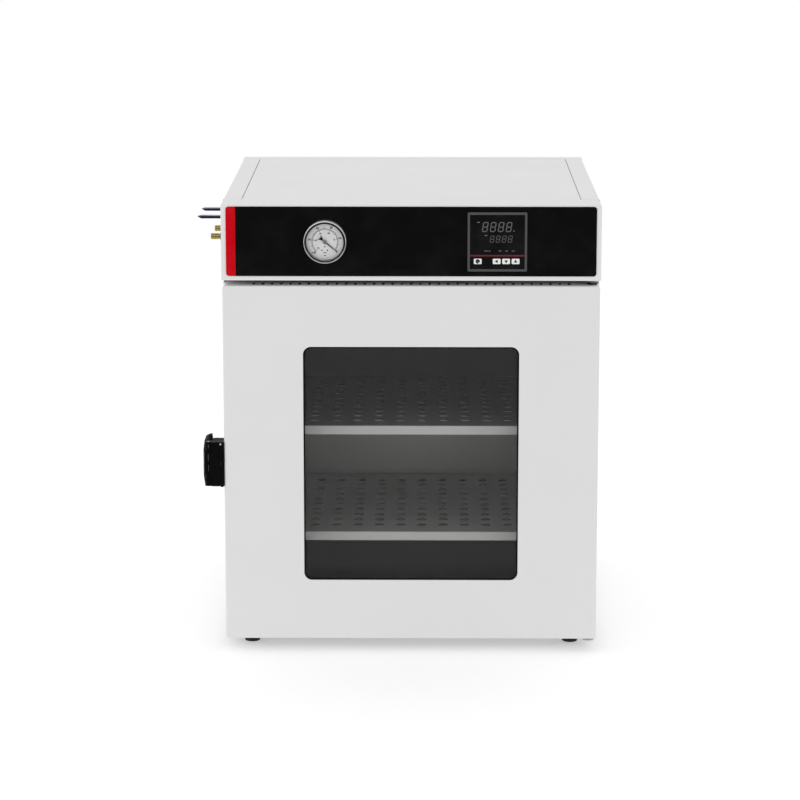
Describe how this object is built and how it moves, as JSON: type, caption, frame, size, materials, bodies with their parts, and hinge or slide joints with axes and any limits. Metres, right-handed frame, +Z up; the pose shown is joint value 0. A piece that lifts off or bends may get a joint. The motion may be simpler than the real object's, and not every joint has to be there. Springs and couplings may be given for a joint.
{
  "type": "vacuum oven",
  "caption": "Bench vacuum oven with a glazed side-hinged door, a stainless chamber with shelves, a control panel with gauge and controller, and side valves.",
  "frame": {"origin": "centre of the bounding box on the floor plane, under the feet", "axes": "+Z up, +Y from the door to the rear cover, +X to the hinge side of the door"},
  "size_m": [0.688, 0.656, 0.752],
  "materials": {
    "painted_steel": "satin powder coat",
    "galvanised_steel": "zinc plated",
    "stainless_steel": "brushed",
    "silicone_gasket": "moulded silicone",
    "mineral_wool": "needled fibre",
    "heater_mat": "moulded silicone",
    "fascia_black": "satin film",
    "accent_red": "satin film",
    "gauge_body": "black enamel",
    "chrome_ring": "polished",
    "dial_white": "white enamel",
    "pointer_black": "matt black enamel",
    "clear_glass": "clear",
    "tinted_glass": "grey tint",
    "controller_grey": "fine texture",
    "face_black": "gloss",
    "circuit_board": "solder mask",
    "key_white": "fine texture",
    "black_plastic": "fine texture",
    "relay_white": "moulded",
    "sink_aluminium": "extruded",
    "phenolic_tan": "moulded",
    "copper_pipe": "drawn",
    "brass": "turned",
    "lever_blue": "vinyl dipped",
    "zinc_steel": "zinc plated",
    "latch_black": "black powder coat",
    "black_rubber": "moulded",
    "rocker_red": "gloss",
    "frame_aluminium": "dark anodised"
  },
  "bodies": {
    "casing": {"control_front_frame": "painted_steel", "side_panel_left": "painted_steel", "side_panel_right": "painted_steel", "top_cover": "painted_steel", "rear_cover": "painted_steel", "base_pan": "galvanised_steel", "deck_plate": "galvanised_steel", "front_frame": "painted_steel", "chamber": "stainless_steel", "door_gasket": "silicone_gasket", "insulation": "mineral_wool", "heater_pads": "heater_mat", "temperature_probe": "stainless_steel", "shelf_racks": "stainless_steel", "fascia_panel": "fascia_black", "accent_strip": "accent_red", "gauge_case": "gauge_body", "gauge_bezel": "chrome_ring", "gauge_dial": "dial_white", "gauge_glass": "clear_glass", "controller_case": "controller_grey", "controller_face": "face_black", "display_module": "circuit_board", "controller_clamp": "black_plastic", "solid_state_relay": "relay_white", "heat_sink": "sink_aluminium", "terminal_block": "phenolic_tan", "overheat_thermostat": "phenolic_tan", "chamber_pipes": "copper_pipe", "gauge_line": "copper_pipe", "valve_bodies": "brass", "power_inlet": "black_plastic", "switch_housing": "black_plastic", "hinge_brackets": "zinc_steel", "latch_keeper": "zinc_steel", "foot_studs": "zinc_steel", "rubber_feet": "black_rubber", "cover_screws": "zinc_steel"},
    "door": {"door_skin": "painted_steel", "door_back_plate": "stainless_steel", "outer_window": "tinted_glass", "window_seal": "black_rubber", "inner_glass": "clear_glass", "glass_frame": "frame_aluminium", "glass_springs": "zinc_steel", "hinge_bushes": "brass", "latch_housing": "latch_black", "latch_pin": "zinc_steel", "door_screws": "zinc_steel"},
    "latch_lever": {"latch_lever": "latch_black"},
    "vacuum_lever": {"vacuum_valve_lever": "lever_blue"},
    "vent_lever": {"vent_valve_lever": "lever_blue"},
    "set_key": {"set_key": "key_white"},
    "shift_key": {"shift_key": "key_white"},
    "down_key": {"down_key": "key_white"},
    "up_key": {"up_key": "key_white"},
    "pointer": {"gauge_pointer": "pointer_black"},
    "upper_shelf": {"upper_shelf": "stainless_steel"},
    "lower_shelf": {"lower_shelf": "stainless_steel"},
    "rocker": {"power_rocker": "rocker_red"}
  },
  "joints": [
    {"name": "door_hinge", "type": "hinge", "parent": "casing", "child": "door", "pos_m": [0.3313, -0.291, 0.3225], "axis": [0, 0, 1], "range_deg": [0, 110]},
    {"name": "latch_turn", "type": "hinge", "parent": "door", "child": "latch_lever", "pos_m": [-0.296, -0.3065, 0.3225], "axis": [0, 0, 1], "range_deg": [0, 35]},
    {"name": "vacuum_valve_turn", "type": "hinge", "parent": "casing", "child": "vacuum_lever", "pos_m": [-0.296, 0.136, 0.668], "axis": [0, 0, -1], "range_deg": [0, 90]},
    {"name": "vent_valve_turn", "type": "hinge", "parent": "casing", "child": "vent_lever", "pos_m": [-0.296, 0.233, 0.668], "axis": [0, 0, -1], "range_deg": [0, 90]},
    {"name": "set_key_press", "type": "slide", "parent": "casing", "child": "set_key", "axis": [0, 1, 0], "range_m": [0, 0.0008], "stiffness_N_per_m": 600, "springref_m": -0.0004},
    {"name": "shift_key_press", "type": "slide", "parent": "casing", "child": "shift_key", "axis": [0, 1, 0], "range_m": [0, 0.0008], "stiffness_N_per_m": 600, "springref_m": -0.0004},
    {"name": "down_key_press", "type": "slide", "parent": "casing", "child": "down_key", "axis": [0, 1, 0], "range_m": [0, 0.0008], "stiffness_N_per_m": 600, "springref_m": -0.0004},
    {"name": "up_key_press", "type": "slide", "parent": "casing", "child": "up_key", "axis": [0, 1, 0], "range_m": [0, 0.0008], "stiffness_N_per_m": 600, "springref_m": -0.0004},
    {"name": "pointer_turn", "type": "hinge", "parent": "casing", "child": "pointer", "pos_m": [-0.1025, -0.321, 0.6925], "axis": [0, -1, 0], "range_deg": [0, 265], "stiffness_Nm_per_rad": 0.0004},
    {"name": "upper_shelf_slide", "type": "slide", "parent": "casing", "child": "upper_shelf", "axis": [0, -1, 0], "range_m": [0, 0.025]},
    {"name": "lower_shelf_slide", "type": "slide", "parent": "casing", "child": "lower_shelf", "axis": [0, -1, 0], "range_m": [0, 0.025]},
    {"name": "power_switch_tip", "type": "hinge", "parent": "casing", "child": "rocker", "pos_m": [0.0165, 0.321, 0.674], "axis": [0, 0, 1], "range_deg": [-16, 0]}
  ]
}
